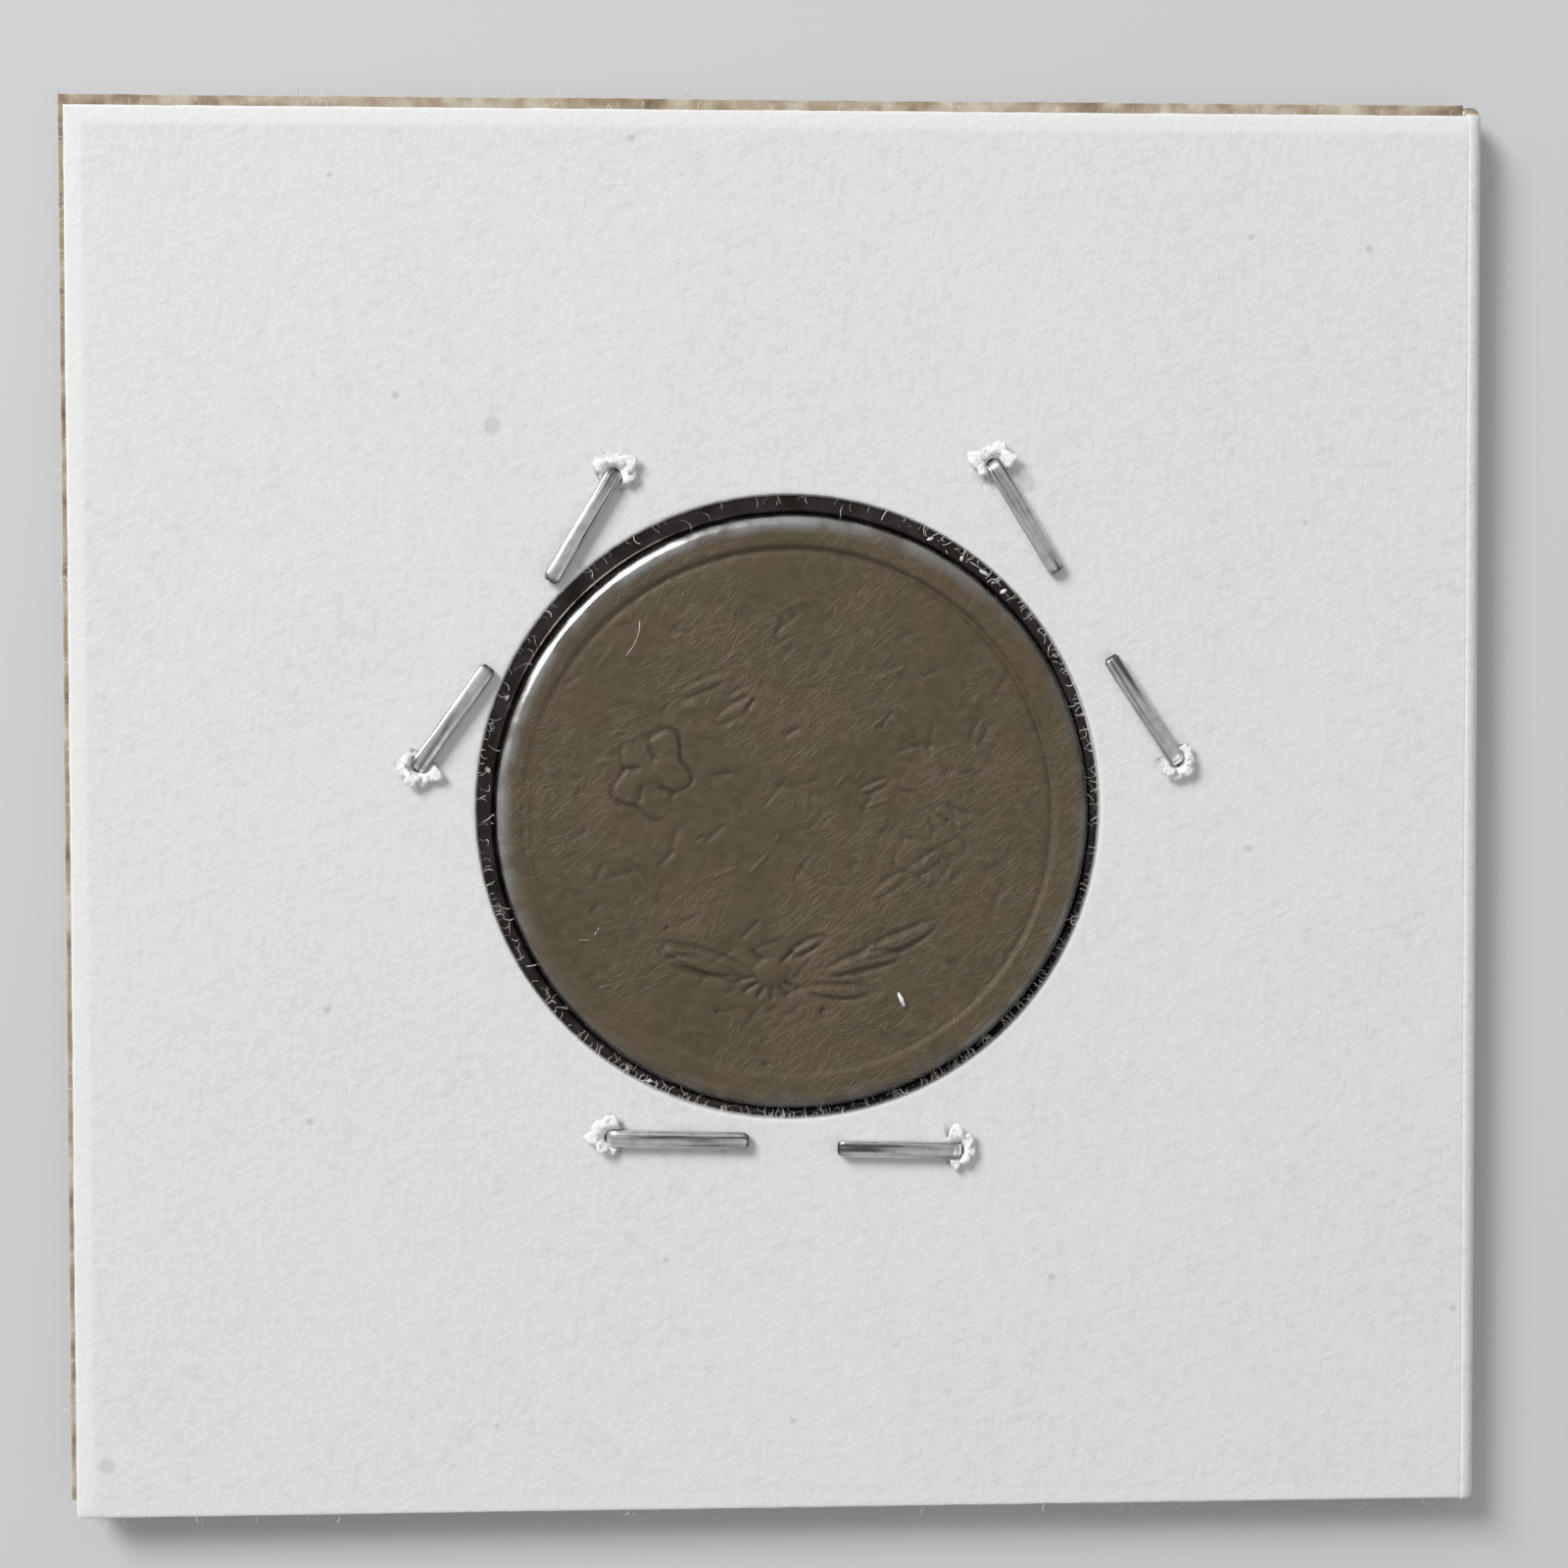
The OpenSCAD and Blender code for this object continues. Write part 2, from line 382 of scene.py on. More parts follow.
    # The outer cut and the margin beside it on the inner face show the core
    bare_rows = 6
    kinds = np.zeros(len(faces), np.int32)
    kinds.reshape(total, count)[total - 1 - wall_rows - bare_rows:total - 1] = 1
    piece = make_piece(name, points, faces, [card_face, card_core], kinds)
    rim_values = np.zeros(len(points), np.float32)
    rim_values[:len(face) * count] = np.concatenate(rims)
    rim_values[len(face) * count:(len(face) + wall_rows + 1) * count] = 0.9  # the window's cut wall, palest: painted highlight
    paint(piece, "rim", rim_values)
    return piece


# Each staple: crown place and turn, then each leg's name, side, reach and skew
staples = {
    "left_staple": ((-9.3, 6.7), 56, (("upper", 1, 4.4, 3), ("lower", -1, 4.3, -2))),
    "right_staple": ((11, 6.95), 122, (("upper", 1, 4.4, -1), ("lower", -1, 4.4, 1))),
    "bottom_staple": ((0.2, -12.05), -2.5, (("left", -1, 4.9, 1), ("right", 1, 4.3, 1))),
}
wire_w, wire_t = 0.6 * MM, 0.4 * MM
crown_w = 12.8 * MM
bend_x = (crown_w - wire_t) / 2
slot_play = 0.3 * MM


def cut_slots(piece):
    """Cuts the six slots that the staple legs pierce, and returns the cut piece."""
    box = bmesh.new()
    for place, turn, legs in staples.values():
        for side in (-1, 1):
            there = (Matrix.Translation((place[0] * MM, place[1] * MM, MM))
                     @ Matrix.Rotation(math.radians(turn), 4, "Z")
                     @ Matrix.Translation((side * bend_x, 0, 0))
                     @ Matrix.Diagonal((wire_t + slot_play, wire_w + slot_play, 3 * MM, 1)))
            bmesh.ops.create_cube(box, size=1, matrix=there)
    mesh = bpy.data.meshes.new("slots")
    box.to_mesh(mesh)
    cutter = add_object("slots", mesh)
    cut = piece.modifiers.new("slots", "BOOLEAN")
    cut.object, cut.operation, cut.solver = cutter, "DIFFERENCE", "EXACT"
    apply_modifiers(piece)
    bpy.data.objects.remove(cutter)
    return piece


back_card = cut_slots(card_half("back_card_board", "back_card", 1, 11))
front_card = cut_slots(card_half("front_card_board", "front_card", -1, 47))
for piece, cad_node, body in (
        (back_card, "back_card", "back_half"), (front_card, "front_card", "front_half")):
    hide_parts(cad_node)
    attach(piece, body)


# ---- Fold ----
# The strip where the card bends round on itself. It is the same board, stretched smooth on the
# outside. The halves closed a little out of line, so the strip shears from one to the other.
fold_low, fold_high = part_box("fold_crease")
z_mid = (fold_low.z + fold_high.z) / 2
fold_r = (fold_high.z - fold_low.z) / 2
inner_r = 0.08 * MM
half_height = 25.05 * MM
slip = 0.25 * MM
arc = np.linspace(0, math.pi, 19)
# The outside is a little squarer than a true arc, by a power across and a power up
square_x, square_z = 0.72, 0.86
outside = fold_r * np.column_stack([
    np.sin(arc) ** square_x, -np.sign(np.cos(arc)) * np.abs(np.cos(arc)) ** square_z])
inside = np.column_stack([np.sin(arc[::-3]), -np.cos(arc[::-3])]) * inner_r
profile = np.concatenate([outside, inside])
stations = np.concatenate([[-1, -0.9994, -0.998], np.linspace(-0.995, 0.995, 150), [0.998, 0.9994, 1]])
points = []
for station in stations:
    worn = 1 - 0.09 * np.clip((abs(station) - 0.994) / 0.006, 0, 1) ** 2
    for index, (x, z) in enumerate(profile):
        dent = noise.noise((x * 1500, station * 60, z * 1500)) * 0.012 * MM
        dent *= math.sin(arc[min(index, len(arc) - 1)])
        grow = worn * (1 - max(0.0, dent) / fold_r) if index < len(outside) else 1
        points.append((fold_low.x + x * grow,
                       station * half_height - slip * math.sin(math.pi / 2 * z / fold_r),
                       z_mid + z * grow))
columns = len(profile)
faces = grid_faces(len(stations), columns).tolist()
faces = [face[::-1] for face in faces]
faces += [list(range(columns)), list(range(len(points) - 1, len(points) - columns - 1, -1))]
kinds = np.zeros(len(faces), np.int32)
kinds[-2:] = 1
crease = make_piece("card_crease", points, faces, [card_face, card_core], kinds)
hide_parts("fold_crease")
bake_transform(crease)


# ---- Coin ----
# A worn five-cent sized coin of dark toned copper-nickel, struck with a plain wreath on the
# back and a ring of stars on the front. Both designs are nearly rubbed away, and the front has
# too few rings of points to show its stars clearly.
coin_low, coin_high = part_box("coin")
coin_centre = np.array([(coin_low.x + coin_high.x) / 2, (coin_low.y + coin_high.y) / 2])
coin_r = (coin_high.x - coin_low.x) / 2
coin_half = (coin_high.z - coin_low.z) / 2


def groove(u, v, start, end, width, depth, bow=0.0):
    """Height in mm, at points u, v, of one struck line from start to end, tapered at both ends."""
    start, end = np.array(start, float), np.array(end, float)
    length = np.linalg.norm(end - start)
    along = (end - start) / length
    a = ((u - start[0]) * along[0] + (v - start[1]) * along[1]) / length
    b = (v - start[1]) * along[0] - (u - start[0]) * along[1] - bow * 4 * a * (1 - a)
    taper = np.clip(a * 5, 0, 1) * np.clip((1 - a) * 5, 0, 1)
    return depth * taper * np.exp(-(b / width) ** 2)


def leaf(u, v, start, end, width, height, bow=0.0):
    """Height in mm of one struck leaf: a swelling between two sunk outlines, with a midrib."""
    side = width * 0.5
    body = groove(u, v, start, end, side * 0.8, height, bow)
    for edge in (-1, 1):
        body += groove(u, v, start, end, 0.10, -height * 1.1, bow + edge * side)
    return body + groove(u, v, start, end, 0.06, -height * 0.5, bow)


def wreath(u, v):
    """Two worn sprays tied with a bow at the foot, in mm."""
    high = np.zeros_like(u)
    # The long leaves beside the bow, which are the least worn: ends, width, bow
    for start, end, width, bow in (
            ((-1.4, -5.75), (-5.1, -4.6), 0.75, 0.12), ((-1.6, -6.2), (-4.9, -5.25), 0.6, -0.25),
            ((0.2, -6.3), (3.2, -6.35), 0.5, -0.10), ((0.9, -5.9), (4.2, -5.1), 0.65, 0.15),
            ((2.0, -5.2), (5.5, -3.7), 0.6, -0.2), ((-0.3, -5.3), (1.3, -4.4), 0.35, 0.05)):
        high += leaf(u, v, start, end, width, 0.075, bow)
    for turn in (-165, -138, -112, -88, -62, -38, 55, 120):  # the folds of the bow
        x, y = math.cos(math.radians(turn)), math.sin(math.radians(turn))
        near, far = (-0.8 + 0.55 * x, -5.75 + 0.45 * y), (-0.8 + 1.4 * x, -5.75 + 1.0 * y)
        high += groove(u, v, near, far, 0.07, -0.085)
    knot = np.hypot((u + 0.8) / 0.62, (v + 5.7) / 0.46)
    high += 0.06 * np.sqrt(np.clip(1 - knot ** 2, 0, 1))
    # A round five-lobed blossom in each spray, the right one worn through
    for x, y, size, worn in ((-5.0, 1.35, 1.45, 1.0), (4.9, -1.2, 1.3, 0.45), (4.7, 1.4, 0.9, 0.3)):
        around = np.arctan2(v - y, u - x)
        reach = size * (0.86 + 0.14 * np.cos(5 * around + 0.7)) * (1 + 0.08 * np.sin(2 * around))
        edge = np.hypot(u - x, (v - y) * 0.86) - reach
        patchy = np.clip(0.75 + 0.6 * np.sin(around * 2 + 0.5), 0.15, 1)
        high += worn * patchy * (-0.075 * np.exp(-(edge / 0.075) ** 2) + 0.03 * (edge < 0))
        for fold in range(4):
            turn = 1.3 * fold + x
            near = (x + 0.45 * math.cos(turn), y + 0.45 * math.sin(turn))
            far = (x + 1.15 * math.cos(turn + 0.4), y + 1.15 * math.sin(turn + 0.4))
            high += worn * groove(u, v, near, far, 0.085, -0.07)
    # Upper and side leaves, nearly gone
    for start, end, width in (
            ((-4.3, 4.05), (-2.2, 4.95), 0.45), ((-2.9, 3.1), (-1.3, 4.1), 0.5),
            ((-2.6, 3.8), (-1.2, 4.6), 0.3), ((-6.0, -1.6), (-4.6, -3.4), 0.4),
            ((3.4, 3.6), (4.6, 2.2), 0.5), ((6.4, 2.2), (6.9, 3.5), 0.4),
            ((3.9, -2.4), (5.6, -1.3), 0.5), ((2.6, -3.2), (4.4, -2.0), 0.4),
            ((2.2, 0.6), (3.6, 1.2), 0.3)):
        high += leaf(u, v, start, end, width, 0.035)
    return high


def stars(u, v):
    """A worn ring of thirteen plain stars round a bare middle, in mm."""
    high = np.zeros_like(u)
    for step in range(13):
        turn = 2 * math.pi * (step + 0.5) / 13
        x, y = u - 7.6 * math.cos(turn), v - 7.6 * math.sin(turn)
        around = np.arctan2(y, x) - turn
        reach = 0.95 * (0.62 + 0.38 * np.cos(5 * around))
        high = np.maximum(high, 0.09 * np.clip(1 - np.hypot(x, y) / reach, 0, 1))
    return high


def coin_face(count, radii, design, seed):
    """Rings of points across one face, in mm from the coin's middle, with their height."""
    turn = np.arange(count) * 2 * math.pi / count
    u = np.outer(radii, np.cos(turn))
    v = np.outer(radii, np.sin(turn))
    r = np.hypot(u, v)
    radius = coin_r / MM
    rng = np.random.default_rng(seed)
    wear = np.zeros_like(u)
    for scale, size in ((3.2, 0.02), (1.0, 0.02), (0.45, 0.02)):
        wear += size * np.array([noise.noise((x / scale, y / scale, seed * 1.7 + scale))
                                 for x, y in zip(u.ravel(), v.ravel())]).reshape(u.shape)
    field, relief_scale = -0.11, 1.5
    high = field + relief_scale * design(u, v) + wear
    for _ in range(150):  # rubbed scratches, mostly slanting one way
        place = rng.uniform(-8.0, 8.0, 2)
        lean = math.radians(rng.normal(32, 28))
        reach = np.array([math.cos(lean), math.sin(lean)]) * rng.uniform(0.2, 0.7)
        width = rng.uniform(0.06, 0.10)
        high += groove(u, v, place - reach, place + reach, width, rng.choice([-0.045, 0.035]))
    # A few small pits
    for x, y, size in ((1.05, -7.1, 0.10), (-2.7, -7.1, 0.07), (-1.0, -9.0, 0.06), (-4.5, -4.1, 0.07)):
        high -= 0.16 * np.exp(-((u - x) ** 2 + (v - y) ** 2) / size ** 2)
    rim_share, rim_slope = 0.905, 0.16
    inside = np.clip((radius * rim_share - r) / rim_slope, 0, 1)
    high = high * inside + (-0.03 + 0.4 * wear) * (1 - inside)
    # The step inside the rim, struck a little off centre and deepest along the top
    step = np.hypot(u + 0.12, v + 0.06) - radius * 0.898
    high -= (0.07 + 0.06 * np.sin(turn + 0.15)) * np.exp(-(step / 0.11) ** 2)
    rounding = 0.30
    over = np.clip(r - (radius - rounding), 0, rounding)
    return u, v, np.minimum(high, -0.001) - (rounding - np.sqrt(rounding ** 2 - over ** 2))


coin_count = 520
front_radii = np.concatenate([np.linspace(0.1, 9.0, 118), np.linspace(9.07, 9.8, 11),
                              np.linspace(9.9, 10.15, 3), 10.2 + 0.3 * np.sin(np.linspace(0.05, 1.55, 7))])
back_radii = np.concatenate([np.linspace(0.1, 9.0, 20), np.linspace(9.1, 9.6, 5),
                             np.linspace(9.8, 10.15, 3), 10.2 + 0.3 * np.sin(np.linspace(0.05, 1.55, 8))])
upper = coin_face(coin_count, front_radii, wreath, 5)
lower = coin_face(coin_count, back_radii, stars, 23)
rows = [np.column_stack([u, v, coin_half / MM + high]) for u, v, high in zip(*upper)]
rows += [np.column_stack([u, v, -coin_half / MM - high]) for u, v, high in list(zip(*lower))[::-1]]
points = np.concatenate(rows) * MM + np.array([*coin_centre, z_mid])
faces = grid_faces(len(rows), coin_count).tolist()
faces = [face[::-1] for face in faces]
faces += [list(range(coin_count)), list(range(len(points) - 1, len(points) - coin_count - 1, -1))]

# Hairlines: fine straight rubs lying in many directions, as a mask
hairlines, lines_in, lines_out = group(
    "hairlines", [("Vector", "NodeSocketVector"), ("Size", "NodeSocketFloat")],
    [("Mask", "NodeSocketFloat")])
rubbed = 0.0
for turn, offset in ((14, 1.3), (31, 4.2), (43, 8.8), (-38, 12.4), (70, 17.0)):
    laid = node(hairlines, "ShaderNodeMapping", {
        "Vector": lines_in.outputs[0], "Location": (offset, -offset, 0),
        "Rotation": (0, 0, math.radians(turn)), "Scale": (9.0, 1.0, 1.0)}, vector_type="TEXTURE")
    field = node(hairlines, "ShaderNodeTexNoise", {
        "Vector": laid.outputs[0], "Scale": lines_in.outputs["Size"], "Detail": 1.0})
    where = node(hairlines, "ShaderNodeTexNoise", {"Vector": lines_in.outputs[0], "Scale": 260.0 + turn})
    thin = ramp(hairlines, field.outputs[0], [(0.60, 0.0), (0.68, 1.0)])
    some = ramp(hairlines, where.outputs[0], [(0.46, 0.0), (0.56, 1.0)])
    rubbed = maths(hairlines, "MAXIMUM", rubbed, maths(hairlines, "MULTIPLY", thin, some))
hairlines.links.new(rubbed, lines_out.inputs["Mask"])

toned_metal, tree, shader = new_material("toned_metal")
here = node(tree, "ShaderNodeTexCoord").outputs["Object"]
broad = node(tree, "ShaderNodeTexNoise", {"Vector": here, "Scale": 420.0, "Detail": 5.0})
fine = node(tree, "ShaderNodeTexNoise", {"Vector": here, "Scale": 2600.0, "Detail": 4.0})
hollow_shade = node(tree, "ShaderNodeAttribute", attribute_name="hollow_shade").outputs["Fac"]
tone = ramp(tree, broad.outputs[0], [(0.33, (0.077, 0.060, 0.026)), (0.52, (0.089, 0.063, 0.030)),
                                     (0.68, (0.101, 0.066, 0.034))])
tone = mix(tree, ramp(tree, fine.outputs[0], [(0.42, 0.0), (0.75, 0.5)]), tone, (0.143, 0.106, 0.058, 1))
# Painted shade: the struck hollows are darkened
tone = mix(tree, hollow_shade, tone, (0.022, 0.017, 0.011, 1))
rubs = node(tree, "ShaderNodeGroup", {"Vector": here, "Size": 9500}, node_tree=hairlines)
tone = mix(tree, maths(tree, "MULTIPLY", rubs.outputs["Mask"], 0.14), tone, (0.30, 0.25, 0.18, 1))
dull = ramp(tree, fine.outputs[0], [(0.3, 0.50), (0.7, 0.68)])
set_inputs(tree, shader, {"Base Color": tone, "Metallic": 0.25, "Roughness": dull})
rubbed = maths(tree, "MULTIPLY", rubs.outputs["Mask"], 0.8)
emboss(tree, shader, maths(tree, "ADD", fine.outputs[0], rubbed), 0.8, 0.000025)

coin = make_piece("worn_coin", points, faces, [toned_metal])
# The struck hollows of the wreath side, which get the painted shade
hollow_shade_values = np.zeros(len(points), np.float32)
sunk = upper[2] - np.array([np.roll(row, 3) + np.roll(row, -3) for row in upper[2]]) / 2
hollow_shade_values[:sunk.size] = np.clip(-sunk.ravel() / 0.05, 0, 1) * 0.4
paint(coin, "hollow_shade", hollow_shade_values)
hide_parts("coin")
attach(coin, "coin")


# ---- Films ----
# A clear polyester film is glued inside each half and stretched over the coin, so it bends round
# its edge with small puckers; a painted highlight whitens it at the bend. The band of it between
# coin and card is tinted dark with painted shade, so that the ring looks dark over the pale floor.
# The real film is clear there.
film_t = 0.05 * MM

clear_film, tree, shader = new_material("clear_film")
here = node(tree, "ShaderNodeTexCoord").outputs["Object"]
haze = node(tree, "ShaderNodeTexNoise", {"Vector": here, "Scale": 900.0, "Detail": 4.0})
dull = ramp(tree, haze.outputs[0], [(0.3, 0.16), (0.7, 0.34)])
# Painted shade: the ring between coin and card gets a dark grey-brown tone and is made nearly opaque
painted_shade = node(tree, "ShaderNodeAttribute", attribute_name="painted_shade").outputs["Fac"]
painted_glint = node(tree, "ShaderNodeAttribute", attribute_name="painted_glint").outputs["Fac"]
painted_shade_tone = ramp(tree, haze.outputs[0], [(0.35, (0.05, 0.040, 0.034)), (0.65, (0.11, 0.090, 0.086))])
tone = mix(tree, painted_shade, (0.95, 0.94, 0.92, 1), painted_shade_tone)
# The sheen grows towards grazing views, alike on the outer and inner sides of the thin sheet
facing = node(tree, "ShaderNodeLayerWeight", {"Blend": 0.5}).outputs["Facing"]
glance = maths(tree, "ADD", 0.010, maths(tree, "MULTIPLY", maths(tree, "POWER", facing, 4.0), 0.5))
# Painted highlight: the band at the bend shows more of the white film
painted_glint_alpha = maths(tree, "MULTIPLY", painted_glint, ramp(tree, haze.outputs[0], [(0.40, 0.30), (0.56, 0.80)]))
painted_shade_alpha = maths(tree, "MULTIPLY", painted_shade, 0.90)
seen = maths(tree, "MAXIMUM", glance, maths(tree, "MAXIMUM", painted_glint_alpha, painted_shade_alpha))
set_inputs(tree, shader, {"Base Color": tone, "Metallic": 1.0, "Roughness": dull, "Alpha": seen})


def film(name, cad_node, outward, seed):
    """One film, as a thin closed shell. outward is 1 on the back half and -1 on the front half."""
    lowest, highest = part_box(cad_node)
    outline = half_outline(lowest, highest, 120)
    count = len(outline)
    ray = outline - coin_centre
    ray /= np.linalg.norm(ray, axis=1)[:, None]
    turn = np.arctan2(ray[:, 1], ray[:, 0])
    # In mm: height over the coin, height of the flat sheet, radius of the bend between them
    top, low, bend = 1.025, 0.045, 0.345
    edge_room = 0.055
    knee = coin_r / MM + edge_room - bend
    line = [(r, top) for r in (0.04, 2, 4, 6, 8, 9, 9.6, 9.9, knee)]
    line += [(knee + bend * math.sin(a), top - bend * (1 - math.cos(a)))
             for a in np.radians((8, 16, 25, 35, 46, 58, 70, 80))]
    # The wall leans out a little and runs into the flat sheet
    line += [(10.60, 0.45), (10.66, 0.24), (10.70, 0.14), (10.76, 0.08), (10.86, 0.05)]
    line += [(r, low) for r in (11.0, 11.2, 11.6, 12.2)]
    line = np.array(line)
    steps = np.gradient(line, axis=0)
    normal = np.column_stack([-steps[:, 1], steps[:, 0]])
    normal /= np.linalg.norm(normal, axis=1)[:, None]
    pucker = ripple(count, 18, 70, seed)
    sag = ripple(count, 2, 9, seed + 1)
    near_edge = np.exp(-((line[:, 0] - 10.5) / 0.2) ** 2)
    most_puckered = 1.75
    ragged = 0.35 + 0.65 * np.exp(-((turn - most_puckered) / 0.45) ** 2)
    shells = []
    for side in (1, -1):
        rings = []
        for (r, z), (nr, nz), near in zip(line, normal, near_edge):
            crinkle = near * ragged * (0.10 * np.abs(pucker) + 0.03 * (1 + sag))
            radius = (r + crinkle + side * nr * film_t / MM / 2) * MM
            height = (z - 0.5 * crinkle + side * nz * film_t / MM / 2) * MM
            flat = coin_centre + ray * np.clip(radius, 0.02 * MM, None)[:, None]
            rings.append(np.column_stack([flat, z_mid + outward * height]))
        edge = np.full(count, z_mid + outward * (low * MM + side * film_t / 2))
        for share in (0.2, 0.4, 0.6, 0.8, 0.95, 0.99, 1.0):
            reach = flat * (1 - share) + outline * share
            rings.append(np.column_stack([reach, edge]))
        shells.append(rings)
    rows = shells[0] + shells[1][::-1]
    points = np.concatenate(rows)
    faces = grid_faces(len(rows), count).tolist()
    faces += [list(range(count))[::-1], list(range(len(points) - count, len(points)))]
    if outward > 0:
        faces = [face[::-1] for face in faces]
    piece = make_piece(name, points, faces, [clear_film])
    far = np.hypot(points[:, 0] - coin_centre[0], points[:, 1] - coin_centre[1]) / MM
    height = np.abs(points[:, 2] - z_mid) / MM
    # The ring between coin and card, which gets the painted shade
    painted_shade_values = np.clip((far - 10.56) / 0.06, 0, 1) * (height < 0.75) * np.clip((12.0 - far) / 0.1, 0, 1)
    # A narrow band at the film's bend is made whiter and less clear, as a painted highlight of the glint,
    # strongest on the side towards the window light
    towards_lamp = np.array([-0.60, 0.80])
    lamp_side_share = np.clip(((points[:, :2] - coin_centre) @ towards_lamp) / MM / far, 0, 1)
    painted_glint_values = np.exp(-((height - 0.965) / 0.05) ** 2) * (far > 10.2) * (far < 10.75)
    painted_glint_values *= 0.12 + 0.88 * lamp_side_share
    paint(piece, "painted_shade", painted_shade_values)
    paint(piece, "painted_glint", painted_glint_values)
    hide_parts(cad_node)
    return piece


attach(film("back_clear_film", "back_film", 1, 61), "back_half")
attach(film("front_clear_film", "front_film", -1, 83), "front_half")


# ---- Staples ----
# Flattened zinc-plated steel wire, bent into three crowns under the front half. The legs pierce
# both halves and are clinched inwards over the back half. Drawing left fine lines along the wire.
leg_low, leg_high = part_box("left_staple_upper_leg")
bend_z = (leg_low.z + leg_high.z) / 2
crown_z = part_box("left_staple")[0].z + wire_t / 2

zinc_wire, tree, shader = new_material("zinc_wire")
along = node(tree, "ShaderNodeUVMap", uv_map="wire").outputs[0]
drawn = node(tree, "ShaderNodeMapping", {"Vector": along, "Scale": (0.22, 7.0, 1.0)})
lines = node(tree, "ShaderNodeTexNoise", {"Vector": drawn.outputs[0], "Scale": 1.0, "Detail": 4.0})
patch = node(tree, "ShaderNodeTexNoise", {"Vector": along, "Scale": 2.2, "Detail": 3.0})
cut_end = node(tree, "ShaderNodeAttribute", attribute_name="cut_end").outputs["Fac"]
tone = ramp(tree, lines.outputs[0], [(0.38, 0.12), (0.46, 0.50), (0.54, 0.82), (0.66, 0.97)])
tone = mix(tree, ramp(tree, patch.outputs[0], [(0.45, 0.0), (0.75, 0.5)]), tone, (0.25, 0.26, 0.27, 1))
tone = mix(tree, cut_end, tone, (0.05, 0.05, 0.055, 1))
dull = ramp(tree, lines.outputs[0], [(0.35, 0.5), (0.65, 0.24)])
set_inputs(tree, shader, {"Base Color": tone, "Metallic": 1.0, "Roughness": dull})
emboss(tree, shader, lines.outputs[0], 0.7, 0.00003)


def bent(corners, radius, steps=7):
    """A line in X and Z with its corners rounded to one radius."""
    corners = [np.array(c, float) for c in corners]
    line = [corners[0]]
    for before, corner, after in zip(corners, corners[1:], corners[2:]):
        a, b = (before - corner), (after - corner)
        a, b = a / np.linalg.norm(a), b / np.linalg.norm(b)
        middle = corner + (a + b) * radius
        for step in range(steps + 1):
            turn = math.pi / 2 * step / steps
            line.append(middle - b * radius * math.cos(turn) - a * radius * math.sin(turn))
    line.append(corners[-1])
    return np.array(line)


def wire(name, line, place, turn, cut_last, seed):
    """A flat wire along a line in the staple's own plane, turned about its bend or crown."""
    fine = [line[0]]
    longest_step = 0.12 * MM
    for a, b in zip(line, line[1:]):
        parts = max(1, int(np.linalg.norm(b - a) / longest_step))
        fine += [a + (b - a) * (n + 1) / parts for n in range(parts)]
    line = np.array(fine)
    step = np.gradient(line, axis=0)
    step /= np.linalg.norm(step, axis=1)[:, None]
    out = np.column_stack([-step[:, 1], step[:, 0]])
    around = np.radians(np.arange(24) * 15 + 7.5)
    squareness = 3.4  # 2 is an ellipse, and more is nearer to a rectangle
    section = np.column_stack([
        np.sign(np.cos(around)) * np.abs(np.cos(around)) ** (2 / squareness) * wire_w / 2,
        np.sign(np.sin(around)) * np.abs(np.sin(around)) ** (2 / squareness) * wire_t / 2])
    length = np.concatenate([[0], np.cumsum(np.linalg.norm(np.diff(line, axis=0), axis=1))])
    rows, dark = [], []
    for index, (spot, away) in enumerate(zip(line, out)):
        left = length[-1] - length[index]
        slim = 0.62 + 0.38 * min(1.0, left / (0.16 * MM)) ** 0.5 if cut_last else 1.0
        wobble = 1 + 0.035 * noise.noise((length[index] * 1400, seed, 0))
        ring = [(spot[0] + away[0] * q * slim, p * slim * wobble, spot[1] + away[1] * q * slim)
                for p, q in section]
        rows.append(ring)
        dark.append(float(cut_last) * max(0.0, 1 - left / (0.2 * MM)))
    spin = Matrix.Translation((place[0], place[1], 0)) @ Matrix.Rotation(math.radians(turn), 4, "Z")
    points = [spin @ Vector(p) for ring in rows for p in ring]
    columns = len(section)
    faces = grid_faces(len(rows), columns).tolist()
    faces += [list(range(columns))[::-1], list(range(len(points) - columns, len(points)))]
    piece = make_piece(name, points, faces, [zinc_wire])
    uv = piece.data.uv_layers.new(name="wire")
    for loop in piece.data.loops:
        row, column = divmod(loop.vertex_index, columns)
        uv.data[loop.index].uv = (length[row] / MM + seed, column / columns * 1.8)
    paint(piece, "cut_end", np.repeat(dark, columns))
    return piece


roots = []
for number, (staple, (place, turn, legs)) in enumerate(staples.items()):
    place = np.array(place) * MM
    stub_top = bend_z - 0.45 * MM
    corners = [(-bend_x, stub_top), (-bend_x, crown_z), (bend_x, crown_z), (bend_x, stub_top)]
    crown = wire(staple + "_crown", bent(corners, 0.22 * MM), place, turn, False, number * 9.0)
    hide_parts(staple)
    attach(crown, "front_half")
    for leg_name, side, reach, skew in legs:
        across = Matrix.Rotation(math.radians(turn), 2) @ Vector((side * bend_x, 0))
        root = place + np.array(across)
        leg_turn = turn + (180 if side > 0 else 0) + skew
        corners = [(0, bend_z - 0.5 * MM), (0, bend_z), (reach * MM, bend_z)]
        cad_leg = f"{staple}_{leg_name}_leg"
        line = bent(corners, 0.2 * MM)
        leg = wire(cad_leg + "_wire", line, root, leg_turn, True, number * 9.0 + side * 3)
        body = cad_leg.replace("_staple", "")
        heading = np.array([math.cos(math.radians(leg_turn)), math.sin(math.radians(leg_turn))])
        blend_length = 0.14 * MM
        far = root + heading * blend_length
        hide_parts(cad_leg)
        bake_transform(leg)
        roots.append((root, heading))


